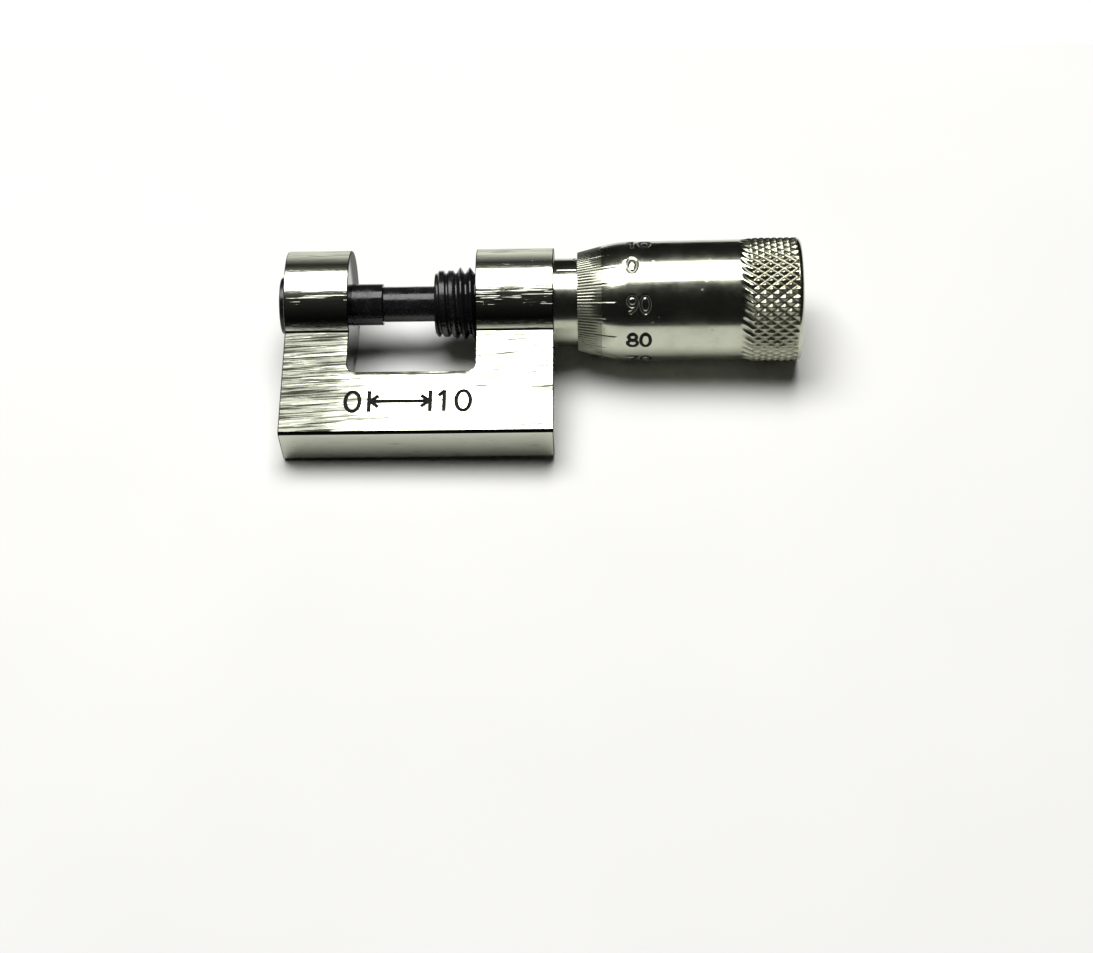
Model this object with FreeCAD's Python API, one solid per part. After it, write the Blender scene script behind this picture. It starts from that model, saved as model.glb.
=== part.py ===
# Miniature outside micrometer, 0 to 10 mm, built as eight separate pieces.
#
# Units are millimetres. The spindle axis is the X axis, and the origin is the centre of the anvil's
# measuring face. +X points at the thimble and +Z is up. The micrometer lies on its back: the frame is
# turned about the spindle axis until the fin's lower edge is level with the underside of the lugs.
# Every piece is stored closed, at a reading of zero.
import FreeCAD, Part
import math
import os

Vector = FreeCAD.Vector

# ---- driving dimensions -------------------------------------------------------------------------
# Measuring range and screw
RANGE = 10.0                 # travel of the spindle
PITCH = 1.0                  # advance of the spindle for one turn of the thimble
FACE_GAP = 0.02              # film between the two measuring faces when closed
FIT = 0.05                   # radial clearance of the screw in its nut
SNUG = 0.02                  # clearance of parts that are screwed or pulled together

# Frame: two round lugs on a flat fin
FRAME_LEFT = -9.9            # outer face of the anvil lug
THROAT_LEFT = -3.2           # inner face of the anvil lug
THROAT_RIGHT = 10.0          # inner face of the sleeve lug
FRAME_RIGHT = 18.1           # outer face of the sleeve lug
LUG_R = 5.7
FIN_THICKNESS = 5.2
FIN_DEPTH = 17.5             # spindle axis to the fin's lower edge
THROAT_DEPTH = 10.1          # spindle axis to the bottom of the throat
THROAT_CORNER_R = 0.9
FIN_EDGE_BEVEL = 0.3
LUG_EDGE_BEVEL = 0.12

# Anvil
ANVIL_R = 2.18
ANVIL_HEAD_R = 3.0
ANVIL_HEAD_THICKNESS = 0.85
ANVIL_BEVEL = 0.12

# Spindle
TIP_R = 1.86
TIP_BEVEL = 0.15
SCREW_START = 5.55
SCREW_END = 36.0
SCREW_R = 3.8                # over the thread crests
SCREW_ROOT_R = 3.2
CREST_FLAT = 0.12
FLANK_ANGLE = 30             # degrees, half of the thread's V
RIDGE_SINK = 0.15            # depth of the thread ridge's foot inside the core
TAPER_START = 36.6
TAPER_START_R = 2.9
TAPER_END = 41.6
TAPER_END_R = 2.2

# Sleeve and its adjusting nut
SLEEVE_R = 4.6
SLEEVE_START = 13.1          # bottom of the counterbore in the lug
SLEEVE_SHOULDER = 32.0       # end of the full diameter
SLEEVE_END = 35.8
NUT_SEAT_R = 4.2             # slit rear end that the adjusting nut closes
SLIT_WIDTH = 0.35
NUT_LENGTH = 3.0
NUT_NOTCH_WIDTH = 0.8
NUT_NOTCH_DEPTH = 0.6

# Thimble
THIMBLE_START = 20.56
BEVEL_END = 23.07
BODY_START = 25.7
KNURL_START = 38.1
THIMBLE_END = 43.95
LIP_R = 5.2
BEVEL_END_R = 5.85
CROWN_X = 24.3               # point on the rounding between bevel and body
CROWN_R = 6.12
BODY_START_R = 6.28
BODY_END_R = 6.36
KNURL_R = 6.5
KNURL_RAMP = 0.25
END_ROUNDING = 0.5
THIMBLE_BORE_R = 4.75
WEB_START = 36.6             # bottom of the bore, where the solid web begins
RECESS_START = 42.2          # floor of the recess for the end screw
RECESS_R = 3.6

# End screw and washer
WASHER_R = 3.3
WASHER_BORE_R = 1.15
WASHER_THICKNESS = 0.3
SHANK_R = 1.0
SHANK_START = 38.0
HEAD_R = 3.3
HEAD_LENGTH = 1.1
HEAD_BEVEL = 0.2
SLOT_WIDTH = 0.7
SLOT_DEPTH = 0.7

# Angle that the frame is turned about the spindle axis so that the fin's back edge is exactly as low
# as the underside of the lugs
FIN_DIAGONAL = math.hypot(FIN_DEPTH, FIN_THICKNESS / 2)
FIN_ROLL = math.degrees(math.asin(LUG_R / FIN_DIAGONAL)
                        - math.atan2(FIN_THICKNESS / 2, FIN_DEPTH))

AXIS = Vector(1, 0, 0)
ORIGIN = Vector(0, 0, 0)


# ---- helpers ------------------------------------------------------------------------------------
def turned(edges):
    """A solid of revolution about the X axis from edges drawn in the XY plane, Y being the radius."""
    face = Part.Face(Part.Wire(edges))
    return face.revolve(ORIGIN, AXIS, 360)


def outline(points):
    """Straight edges that join (x, radius) points and close on the first."""
    corners = [Vector(x, r, 0) for x, r in points]
    following = corners[1:] + corners[:1]
    return [Part.makeLine(a, b) for a, b in zip(corners, following)]


def rod(radius, start, end):
    """A cylinder along the X axis."""
    return Part.makeCylinder(radius, end - start, Vector(start, 0, 0), AXIS)


def block(low, high):
    """A box between two corners."""
    size = [h - l for l, h in zip(low, high)]
    return Part.makeBox(size[0], size[1], size[2], Vector(*low))


def edges_where(shape, test):
    """The edges of a shape whose middle point passes a test."""
    return [edge for edge in shape.Edges if test(edge.CenterOfMass, edge)]


def save(shape, name):
    """Write one piece, which must be sound, to its own STEP file."""
    if not shape.isValid():
        raise ValueError(name + " is not a valid solid")
    shape.exportStep(os.path.join("parts", name + ".step"))
    print(f"{name}: {len(shape.Solids)} solid, {shape.Volume:.1f} mm3")


# ---- frame --------------------------------------------------------------------------------------
def lug(start, end):
    """One round lug with a small bevel on the rims of both faces."""
    b = LUG_EDGE_BEVEL
    return turned(outline([(start, 0), (start, LUG_R - b), (start + b, LUG_R),
                           (end - b, LUG_R), (end, LUG_R - b), (end, 0)]))


def fin():
    """The flat fin below the lugs, with the throat cut out of it."""
    half = FIN_THICKNESS / 2
    plate = block((FRAME_LEFT, -FIN_DEPTH, -half), (FRAME_RIGHT, 0, half))
    lower = edges_where(plate, lambda p, e: abs(p.y + FIN_DEPTH) < 0.01 and abs(p.z) > half - 0.01)
    plate = plate.makeChamfer(FIN_EDGE_BEVEL, lower)
    throat = block((THROAT_LEFT, -THROAT_DEPTH, -half - 1), (THROAT_RIGHT, 1, half + 1))
    corners = edges_where(throat, lambda p, e: abs(p.y + THROAT_DEPTH) < 0.01 and abs(p.z) < 0.01)
    return plate.cut(throat.makeFillet(THROAT_CORNER_R, corners))


def frame():
    """Both lugs and the fin in one piece, bored for the anvil, the screw and the sleeve."""
    body = fin().fuse([lug(FRAME_LEFT, THROAT_LEFT), lug(THROAT_RIGHT, FRAME_RIGHT)])
    anvil_bore = rod(ANVIL_R, FRAME_LEFT - 1, THROAT_LEFT + 1)
    screw_bore = rod(SCREW_R + FIT, THROAT_RIGHT - 1, SLEEVE_START + 1)
    sleeve_bore = rod(SLEEVE_R, SLEEVE_START, FRAME_RIGHT + 1)
    body = body.cut([anvil_bore, screw_bore, sleeve_bore]).removeSplitter()
    body.rotate(ORIGIN, AXIS, FIN_ROLL)
    return body.Solids[0]


def anvil():
    """Headed pin through the left lug. Its bevelled end is the fixed measuring face."""
    b = ANVIL_BEVEL
    head = FRAME_LEFT - ANVIL_HEAD_THICKNESS
    return turned(outline([(head, 0), (head, ANVIL_HEAD_R - b), (head + b, ANVIL_HEAD_R),
                           (FRAME_LEFT, ANVIL_HEAD_R), (FRAME_LEFT, ANVIL_R),
                           (-b, ANVIL_R), (0, ANVIL_R - b), (0, 0)]))


# ---- spindle ------------------------------------------------------------------------------------
def spindle_core():
    """The spindle without its thread ridge: tip, screw core, neck, and taper with its blind hole."""
    b = TIP_BEVEL
    hole = SHANK_START - PITCH
    return turned(outline([
        (FACE_GAP, 0), (FACE_GAP, TIP_R - b), (FACE_GAP + b, TIP_R), (SCREW_START, TIP_R),
        (SCREW_START, SCREW_ROOT_R), (SCREW_END, SCREW_ROOT_R), (SCREW_END, TAPER_START_R),
        (TAPER_START, TAPER_START_R), (TAPER_END, TAPER_END_R), (TAPER_END, SHANK_R),
        (hole, SHANK_R), (hole, 0)]))


def thread_ridge():
    """One right-hand V ridge, swept along a helix about the X axis, its foot sunk into the core."""
    foot_r = SCREW_ROOT_R - RIDGE_SINK
    half_crest = CREST_FLAT / 2
    half_foot = half_crest + (SCREW_R - foot_r) * math.tan(math.radians(FLANK_ANGLE))
    helix = Part.makeHelix(PITCH, SCREW_END - SCREW_START - PITCH, SCREW_ROOT_R)
    foot_low = Vector(foot_r, 0, -half_foot)
    foot_high = Vector(foot_r, 0, half_foot)
    crest_low = Vector(SCREW_R, 0, -half_crest)
    crest_high = Vector(SCREW_R, 0, half_crest)
    sweep = Part.BRepOffsetAPI.MakePipeShell(Part.Wire(helix.Edges))
    sweep.setFrenetMode(True)
    sweep.add(Part.makePolygon([foot_low, crest_low, crest_high, foot_high, foot_low]))
    sweep.build()
    sweep.makeSolid()
    ridge = sweep.shape()
    if ridge.Volume < 0:
        ridge.reverse()
    ridge.rotate(ORIGIN, Vector(0, 1, 0), 90)
    ridge.translate(Vector(SCREW_START + PITCH / 2, 0, 0))
    return ridge


def spindle():
    """Plain tip, screw thread, and the taper that the thimble is pulled onto."""
    return spindle_core().fuse(thread_ridge()).Solids[0]


# ---- sleeve and adjusting nut -------------------------------------------------------------------
def sleeve():
    """Barrel fixed in the right lug. Its slit rear end is the nut for the screw."""
    bore = SCREW_R + FIT
    barrel = turned(outline([(SLEEVE_START, bore), (SLEEVE_START, SLEEVE_R),
                             (SLEEVE_SHOULDER, SLEEVE_R), (SLEEVE_SHOULDER, NUT_SEAT_R),
                             (SLEEVE_END, NUT_SEAT_R), (SLEEVE_END, bore)]))
    half = SLIT_WIDTH / 2
    start = SLEEVE_SHOULDER + 0.5
    upright = block((start, -half, -SLEEVE_R), (SLEEVE_END + 1, half, SLEEVE_R))
    level = block((start, -SLEEVE_R, -half), (SLEEVE_END + 1, SLEEVE_R, half))
    return barrel.cut([upright, level])


def adjusting_nut():
    """Ring on the sleeve's slit end, with two notches for a pin spanner."""
    start = SLEEVE_SHOULDER + 0.3
    end = start + NUT_LENGTH
    bore = NUT_SEAT_R + SNUG
    ring = turned(outline([(start, bore), (start, SLEEVE_R), (end, SLEEVE_R), (end, bore)]))
    half = NUT_NOTCH_WIDTH / 2
    notch = block((end - NUT_NOTCH_DEPTH, -half, -SLEEVE_R - 1), (end + 1, half, SLEEVE_R + 1))
    return ring.cut(notch)


# ---- thimble and what holds it ------------------------------------------------------------------
def thimble():
    """Bevelled front edge, plain body, knurled grip, and a web with a taper bore at the back."""
    rounding_start = Vector(THIMBLE_END - END_ROUNDING, KNURL_R, 0)
    slope = END_ROUNDING * math.sqrt(0.5)
    rounding_mid = Vector(THIMBLE_END - END_ROUNDING + slope, KNURL_R - END_ROUNDING + slope, 0)
    rounding_end = Vector(THIMBLE_END, KNURL_R - END_ROUNDING, 0)
    crown_start = Vector(BEVEL_END, BEVEL_END_R, 0)
    crown_end = Vector(BODY_START, BODY_START_R, 0)
    body_end = Vector(KNURL_START, BODY_END_R, 0)
    lip = Vector(THIMBLE_START, LIP_R, 0)
    inside = [Vector(THIMBLE_END, RECESS_R, 0), Vector(RECESS_START, RECESS_R, 0),
              Vector(RECESS_START, TAPER_END_R + SNUG, 0), Vector(TAPER_END, TAPER_END_R + SNUG, 0),
              Vector(WEB_START, TAPER_START_R + SNUG, 0), Vector(WEB_START, THIMBLE_BORE_R, 0),
              Vector(THIMBLE_START, THIMBLE_BORE_R, 0), lip]
    knurl_corner = Vector(KNURL_START + KNURL_RAMP, KNURL_R, 0)
    edges = [Part.makeLine(lip, crown_start),
             Part.Arc(crown_start, Vector(CROWN_X, CROWN_R, 0), crown_end).toShape(),
             Part.makeLine(crown_end, body_end),
             Part.makeLine(body_end, knurl_corner),
             Part.makeLine(knurl_corner, rounding_start),
             Part.Arc(rounding_start, rounding_mid, rounding_end).toShape(),
             Part.makeLine(rounding_end, inside[0])]
    edges += [Part.makeLine(a, b) for a, b in zip(inside, inside[1:])]
    return turned(edges)


def thimble_washer():
    """Plain washer between the thimble and the head of the end screw."""
    start = RECESS_START + SNUG
    end = start + WASHER_THICKNESS
    return turned(outline([(start, WASHER_BORE_R), (start, WASHER_R),
                           (end, WASHER_R), (end, WASHER_BORE_R)]))


def thimble_screw():
    """Slotted end screw that pulls the thimble onto the spindle's taper."""
    seat = RECESS_START + 2 * SNUG + WASHER_THICKNESS
    top = seat + HEAD_LENGTH
    b = HEAD_BEVEL
    shank = SHANK_R - SNUG
    screw = turned(outline([(SHANK_START, 0), (SHANK_START, shank), (seat, shank), (seat, HEAD_R),
                            (top - b, HEAD_R), (top, HEAD_R - b), (top, 0)]))
    half = SLOT_WIDTH / 2
    slot = block((top - SLOT_DEPTH, -HEAD_R - 1, -half), (top + 1, HEAD_R + 1, half))
    slot.rotate(ORIGIN, AXIS, 35)
    return screw.cut(slot)


# ---- build --------------------------------------------------------------------------------------
PIECES = {
    "frame": frame,
    "anvil": anvil,
    "spindle": spindle,
    "sleeve": sleeve,
    "adjusting_nut": adjusting_nut,
    "thimble": thimble,
    "thimble_washer": thimble_washer,
    "thimble_screw": thimble_screw,
}

os.makedirs("parts", exist_ok=True)
for piece_name, make in PIECES.items():
    save(make(), piece_name)
print(f"fin turned {FIN_ROLL:.3f} degrees about the spindle axis")
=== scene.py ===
"""Looks of a miniature outside micrometer: a lugged frame, a screw spindle and a graduated thimble.

Lengths in the dataclass fields are millimetres, and angles are degrees about the spindle axis, which
is +X. An angle of 0 points to +Y and 90 points up. Meshes are made in metres.
"""

import logging
import math
from dataclasses import dataclass
from enum import Enum
from functools import reduce
from typing import Callable, Iterable, Sequence

import bmesh
import bpy
import numpy as np
from mathutils import Matrix, Vector


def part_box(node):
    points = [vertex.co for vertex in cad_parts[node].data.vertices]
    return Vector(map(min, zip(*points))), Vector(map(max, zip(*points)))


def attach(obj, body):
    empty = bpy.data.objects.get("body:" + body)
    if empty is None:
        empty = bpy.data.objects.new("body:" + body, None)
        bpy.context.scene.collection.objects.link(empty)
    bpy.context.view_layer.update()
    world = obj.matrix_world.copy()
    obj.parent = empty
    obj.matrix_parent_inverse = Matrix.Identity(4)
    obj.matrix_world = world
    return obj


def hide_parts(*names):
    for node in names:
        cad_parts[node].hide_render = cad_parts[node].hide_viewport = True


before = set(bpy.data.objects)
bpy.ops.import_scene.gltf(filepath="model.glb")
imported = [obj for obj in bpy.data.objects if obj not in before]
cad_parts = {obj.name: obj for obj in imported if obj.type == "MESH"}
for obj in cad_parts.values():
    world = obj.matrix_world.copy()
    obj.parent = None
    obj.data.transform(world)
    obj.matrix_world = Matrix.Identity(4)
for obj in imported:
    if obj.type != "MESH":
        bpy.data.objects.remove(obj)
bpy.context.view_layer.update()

MM = 0.001
TAU = 2 * math.pi
LOG = logging.getLogger("micrometer")

Point = tuple[float, float]
Range = tuple[float, float]
Stretch = tuple[float, float, float]
Colour = tuple[float, float, float, float]
Socket = bpy.types.NodeSocket
Material = bpy.types.Material
Piece = bpy.types.Object

FILLER: Colour = (0.010, 0.010, 0.011, 1)
GROOVE_CURVE = 2.2
SHARP_COSINE = 0.7
LEAST_TURN = 0.15
LONGEST_EASE = 0.45


class Body(Enum):
    """The rigid bodies that new pieces ride on."""

    FRAME = "frame"
    SPINDLE = "spindle"


class Slot(Enum):
    """The record's material slots, named for each new piece."""

    FRAME = "nickel_frame"
    BLACK = "black_oxide"
    SLEEVE = "chrome_sleeve"
    THIMBLE = "chrome_thimble"


class Edge(Enum):
    """How a turned piece's profile runs."""

    OPEN = "open"
    CLOSED = "closed"


class Run(Enum):
    """The axis that a solid is drawn out along."""

    X = "x"
    Z = "z"


def span(node: str) -> tuple[Vector, Vector]:
    """Give the lowest and highest corners of a CAD node in millimetres."""
    low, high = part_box(node)
    return low / MM, high / MM


def metres(lengths: Iterable[float]) -> list[float]:
    """Turn millimetres into metres."""
    return [length * MM for length in lengths]


# ---- node trees --------------------------------------------------------------------------------
class NodeWriter:
    """A writer of node trees as short expressions of numbers and sources."""

    def __init__(self, tree: bpy.types.NodeTree) -> None:
        """Start on a tree."""
        self.tree = tree

    def node(self, kind: str, inputs: dict[object, object] | None = None,
             **settings: object) -> bpy.types.Node:
        """Add a node.

        Args:
            kind: Blender's type name of the node.
            inputs: Values or sources for its sockets, by name or index.
            **settings: Attributes of the node.

        Returns:
            The new node.
        """
        made = self.tree.nodes.new(kind)
        for key, value in settings.items():
            setattr(made, key, value)
        for key, value in (inputs or {}).items():
            if isinstance(value, Socket):
                self.tree.links.new(value, made.inputs[key])
            else:
                made.inputs[key].default_value = value
        return made

    def math(self, action: str, *terms: object) -> Socket:
        """Work out one Math node with up to three terms."""
        return self.node("ShaderNodeMath", dict(enumerate(terms)), operation=action).outputs[0]

    def chain(self, action: str, terms: Sequence[object]) -> Socket:
        """Combine terms one after another."""
        return reduce(lambda total, term: self.math(action, total, term), terms)

    def plus(self, *terms: object) -> Socket:
        """Add terms."""
        return self.chain("ADD", terms)

    def minus(self, first: object, second: object) -> Socket:
        """Take the second term from the first."""
        return self.math("SUBTRACT", first, second)

    def times(self, *terms: object) -> Socket:
        """Multiply terms."""
        return self.chain("MULTIPLY", terms)

    def most(self, *terms: object) -> Socket:
        """Give the largest term."""
        return self.chain("MAXIMUM", terms)

    def least(self, *terms: object) -> Socket:
        """Give the smallest term."""
        return self.chain("MINIMUM", terms)

    def away(self, value: object, middle: object = 0.0) -> Socket:
        """Give how far a value is from a middle, either way."""
        return self.math("ABSOLUTE", self.minus(value, middle))

    def ramp(self, value: object, low: object, high: object, start: object = 0.0,
             end: object = 1.0) -> Socket:
        """Map a value from low..high onto start..end, and hold it past both ends."""
        inputs = {"Value": value, "From Min": low, "From Max": high, "To Min": start, "To Max": end}
        return self.node("ShaderNodeMapRange", inputs, clamp=True).outputs[0]

    def axes(self, place: Socket) -> tuple[Socket, Socket, Socket]:
        """Part a place into x, y and z."""
        return tuple(self.node("ShaderNodeSeparateXYZ", {0: place}).outputs)

    def joined(self, x: object, y: object, z: object = 0.0) -> Socket:
        """Make a place from x, y and z."""
        return self.node("ShaderNodeCombineXYZ", {0: x, 1: y, 2: z}).outputs[0]


@dataclass(frozen=True)
class Grain:
    """A fractal noise: features per metre, or for each axis, layers, and how strong the fine ones are."""

    scale: float | Stretch
    detail: float = 3.0
    rough: float = 0.55


class Shader(NodeWriter):
    """A material with one Principled shader, read from the piece's own coordinates."""

    def __init__(self, name: str) -> None:
        """Start an empty material.

        Args:
            name: Name of the material.
        """
        self.material = bpy.data.materials.new(name)
        self.material.use_nodes = True
        super().__init__(self.material.node_tree)
        self.tree.nodes.clear()
        self.skin = self.node("ShaderNodeBsdfPrincipled")
        self.node("ShaderNodeOutputMaterial", {"Surface": self.skin.outputs[0]})
        source = self.node("ShaderNodeTexCoord")
        self.place, self.facing = source.outputs["Object"], source.outputs["Normal"]

    def set(self, **values: object) -> None:
        """Set the Principled shader's own sockets, with underscores for spaces in their names."""
        for name, value in values.items():
            self.skin.inputs[name.replace("_", " ")].default_value = value

    def feed(self, name: str, source: Socket) -> None:
        """Link a source to one of the Principled shader's sockets."""
        self.tree.links.new(source, self.skin.inputs[name])

    def noise(self, grain: Grain, place: Socket | None = None) -> Socket:
        """Give a grain's noise, from 0 to 1.

        Args:
            grain: The grain.
            place: Where it is read. None is the piece's own coordinates.

        Returns:
            The noise.
        """
        place, scale = self.place if place is None else place, grain.scale
        if isinstance(scale, tuple):
            place = self.node("ShaderNodeMapping", {"Vector": place, "Scale": scale}).outputs[0]
            scale = 1.0
        inputs = {"Vector": place, "Scale": scale, "Detail": grain.detail, "Roughness": grain.rough}
        return self.node("ShaderNodeTexNoise", inputs).outputs[0]

    def blend(self, factor: object, first: object, second: object) -> Socket:
        """Mix two colours by a factor from 0 to 1."""
        return self.node("ShaderNodeMix", {0: factor, 6: first, 7: second}, data_type="RGBA").outputs[2]

    def mark(self, name: str) -> Socket:
        """Read a number stored on the mesh."""
        return self.node("ShaderNodeAttribute", attribute_name=name).outputs["Fac"]

    def bump(self, layers: Iterable[tuple[Socket, float]]) -> None:
        """Stack bumps on the surface.

        Args:
            layers: Pairs of a height source and its depth in millimetres.
        """
        below: dict[object, object] = {}
        for source, depth in layers:
            inputs = {"Height": source, "Distance": depth * MM, "Strength": 1.0, **below}
            below = {"Normal": self.node("ShaderNodeBump", inputs).outputs[0]}
        self.feed("Normal", below["Normal"])


# ---- finishes ----------------------------------------------------------------------------------
@dataclass(frozen=True)
class NickelPlate:
    """Bright nickel over steel that was linished along X, with scores where it is worn: one end, and the
    tops. Painted shade darkens the lugs' fronts, the throat's end walls and a thin line along the throat's
    floor.

    In each pair, a mark hasn't begun at the first value and is full at the second. Pairs of places are
    along the axis that their comment names.
    """

    name: str = "nickel_plate"
    colour: Colour = (0.57, 0.585, 0.49, 1)
    score: Colour = (0.010, 0.0105, 0.008, 1)
    dull: Colour = (0.060, 0.062, 0.050, 1)
    rough: float = 0.12
    rough_top: float = 0.50
    rough_score: float = 0.3
    hair: Grain = Grain((200, 9000, 9000), 3.0, 0.6)
    streak: Grain = Grain((130, 5200, 5200), 4.0, 0.66)
    smear: Grain = Grain((170, 4000, 4000), 4.0, 0.72)
    dash: Grain = Grain((170, 7000, 7000), 2.0, 0.6)
    patch: Grain = Grain((120, 420, 420), 2.0)
    wave: Grain = Grain((40, 120, 120), 1.0)
    hair_depth: float = 0.005
    streak_depth: float = 0.004
    score_depth: float = 0.005
    nick_depth: float = 0.008
    wave_depth: float = 0.002
    # Slope of the scores against X, and how much a full mark hides.
    lay: float = 0.06
    cover: float = 0.98
    # Which way the metal faces: up or down, endwise, where the throat's walls get painted shade, and towards
    # the fin's edge, where the lugs' fronts get painted shade.
    level_facing: Range = (0.25, 0.55)
    end_facing: Range = (0.5, 0.8)
    foot_facing: Range = (-0.70, -0.86)
    foot_share: float = 0.85
    end_lean: float = 4.0
    # Z: the fin's face, and the lugs' sides above it.
    fin_face: Range = (2.7, 2.3)
    above_fin: Range = (3.2, 4.0)
    # X: the worn end, whose border wanders with the patches.
    worn_end: Range = (3.2, -5.0)
    worn_drift: float = 6.0
    # Y: the lugs' tops, their lower flanks, and the fin's face near the throat.
    worn_top: Range = (0.3, 2.0)
    top_share: float = 0.6
    under_lug: Range = (-0.6, -2.0)
    near_throat: Range = (-12.8, -10.9)
    near_share: float = 0.5
    # Levels of noise at which marks show, how strong patches are there, and how far wear lifts the noise.
    patch_level: Range = (0.54, 0.70)
    patch_share: Range = (0.22, 0.8)
    streak_level: Range = (0.635, 0.735)
    streak_lift: float = 0.17
    smear_level: Range = (0.60, 0.80)
    smear_lift: float = 0.37
    smear_share: float = 0.94
    nick_level: Range = (0.56, 0.66)
    # The throat: its middle and half width in X, and the painted shade line along its floor's edge in Y.
    throat_middle: float = 3.4
    throat_half: float = 7.0
    burr_place: float = -10.57
    burr_width: Range = (0.30, 0.18)
    burr_half: Range = (6.2, 5.6)
    burr_hair: Range = (0.30, 0.42)

    def make(self) -> Material:
        """Build the material.

        Returns:
            The material.
        """
        s = Shader(self.name)
        x, y, z = s.axes(s.place)
        facing_x, facing_y, facing_z = s.axes(s.facing)
        slanted = s.joined(x, s.minus(y, s.times(x, self.lay)), z)
        hair, patch = s.noise(self.hair), s.noise(self.patch)
        streak, smear = s.noise(self.streak, slanted), s.noise(self.smear, slanted)
        endwise = s.ramp(s.away(facing_x), *self.end_facing)
        on_fin = s.ramp(z, *metres(self.fin_face))
        on_top = s.ramp(y, *metres(self.worn_top))

        border = metres(edge + self.worn_drift / 2 for edge in self.worn_end)
        end = s.ramp(s.plus(x, s.times(patch, self.worn_drift * MM)), *border)
        patchy = s.ramp(patch, *self.patch_level, *self.patch_share)
        near = s.times(s.ramp(y, *metres(self.near_throat)), self.near_share)
        level = s.ramp(s.away(facing_z), *self.level_facing)
        flat_wear = s.times(on_fin, s.most(end, patchy, near))
        worn = s.times(s.most(flat_wear, s.times(on_top, self.top_share)), level)

        away = s.away(x, self.throat_middle * MM)
        # Painted shade: a thin, dark, uneven line along the front edge of the throat's floor, drawn together
        # with the scores in their dark colour.
        edge_shade_line = s.times(s.ramp(s.away(y, self.burr_place * MM), *metres(self.burr_width)),
                       s.ramp(away, *metres(self.burr_half)), s.ramp(hair, *self.burr_hair), on_fin)
        scores_and_shade_line = s.most(s.ramp(s.plus(streak, s.times(worn, self.streak_lift)), *self.streak_level), edge_shade_line)
        smeared = s.ramp(s.plus(smear, s.times(worn, on_fin, self.smear_lift)), *self.smear_level)
        # Painted shade: lug faces above the fin's face that turn towards the fin's edge are darkened to the
        # dull colour, which also serves the worn smears.
        foot = s.times(s.ramp(facing_y, *self.foot_facing), s.minus(1.0, on_fin), self.foot_share)
        # Painted shade: the faces inside the throat that look along X, its end walls, take the dull colour in
        # place of the dark floor and spindle that they reflect.
        inside = s.times(s.math("LESS_THAN", away, self.throat_half * MM), endwise, self.cover)
        metal = s.blend(s.most(s.times(smeared, self.smear_share), foot), self.colour, self.dull)
        metal = s.blend(inside, metal, self.dull)
        s.feed("Base Color", s.blend(s.times(scores_and_shade_line, self.cover), metal, self.score))

        smoothness = s.ramp(on_top, 0.0, 1.0, self.rough, self.rough_top)
        s.feed("Roughness", s.most(smoothness, s.times(scores_and_shade_line, self.rough_score)))
        s.feed("Tangent", s.joined(1.0, s.times(endwise, self.end_lean)))
        s.set(Metallic=1.0, Anisotropic=0.7, Anisotropic_Rotation=0.25)
        nick = s.times(s.ramp(s.noise(self.dash), *self.nick_level), s.ramp(y, *metres(self.under_lug)),
                       s.ramp(z, *metres(self.above_fin)))
        s.bump([(s.noise(self.wave), self.wave_depth), (streak, self.streak_depth),
                (scores_and_shade_line, -self.score_depth), (nick, self.nick_depth), (hair, self.hair_depth)])
        return s.material


@dataclass(frozen=True)
class TurnedPlate:
    """Plated surface turned on a lathe, with pits, wipe marks, paint in its cuts and dirt in its grooves."""

    name: str
    colour: Colour = (0.50, 0.52, 0.42, 1)
    cloudy: Colour = (0.38, 0.39, 0.30, 1)
    soil: Colour = (0.13, 0.13, 0.10, 1)
    grip_colour: Colour = (0.50, 0.51, 0.38, 1)
    rings: Grain = Grain((9000, 60, 60), 3.0, 0.6)
    wave: Grain = Grain((110, 190, 190), 2.0)
    cloud: Grain = Grain(420.0, 4.0, 0.65)
    ring_depth: float = 0.0006
    wave_depth: float = 0.006
    pit_depth: float = 0.004
    pits: float = 560.0
    pit_edge: Range = (0.09, 0.04)
    cloud_level: Range = (0.40, 0.70)
    cloud_share: float = 0.55
    ink_edge: Range = (0.38, 0.55)
    ink_gloss: float = 0.12
    soil_level: Range = (0.25, 0.7)
    soil_least: float = 0.55
    soil_curve: float = 0.7
    soil_share: float = 0.9
    rough: float = 0.15
    rough_level: Range = (0.35, 0.75)
    rough_gain: float = 1.5
    rough_extra: float = 0.02
    rough_soiled: float = 0.22
    rough_grip: float = 0.30
    rough_ink: float = 0.5

    def make(self) -> Material:
        """Build the material.

        Returns:
            The material.
        """
        s = Shader(self.name)
        cloud = s.noise(self.cloud)
        speck = s.node("ShaderNodeTexVoronoi", {"Vector": s.place, "Scale": self.pits}).outputs["Distance"]
        pit = s.ramp(speck, *self.pit_edge)
        groove, grip = s.mark("groove"), s.mark("grip")
        inked = s.ramp(s.mark("paint"), *self.ink_edge)
        plain = s.blend(grip, self.colour, self.grip_colour)
        metal = s.blend(s.ramp(cloud, *self.cloud_level, 0.0, self.cloud_share), plain, self.cloudy)
        dirt = s.times(s.math("POWER", groove, self.soil_curve),
                       s.ramp(cloud, *self.soil_level, self.soil_least), self.soil_share)
        s.feed("Base Color", s.blend(inked, s.blend(dirt, metal, self.soil), FILLER))
        s.feed("Metallic", s.minus(1.0, inked))
        s.set(Specular_IOR_Level=self.ink_gloss)
        wiped = s.ramp(cloud, *self.rough_level, self.rough, self.rough * self.rough_gain + self.rough_extra)
        rough = s.plus(wiped, s.times(s.most(pit, groove), self.rough_soiled))
        s.feed("Roughness", s.most(rough, s.times(grip, self.rough_grip), s.times(inked, self.rough_ink)))
        s.bump([(s.noise(self.wave), self.wave_depth), (pit, -self.pit_depth),
                (s.noise(self.rings), self.ring_depth)])
        return s.material


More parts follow.
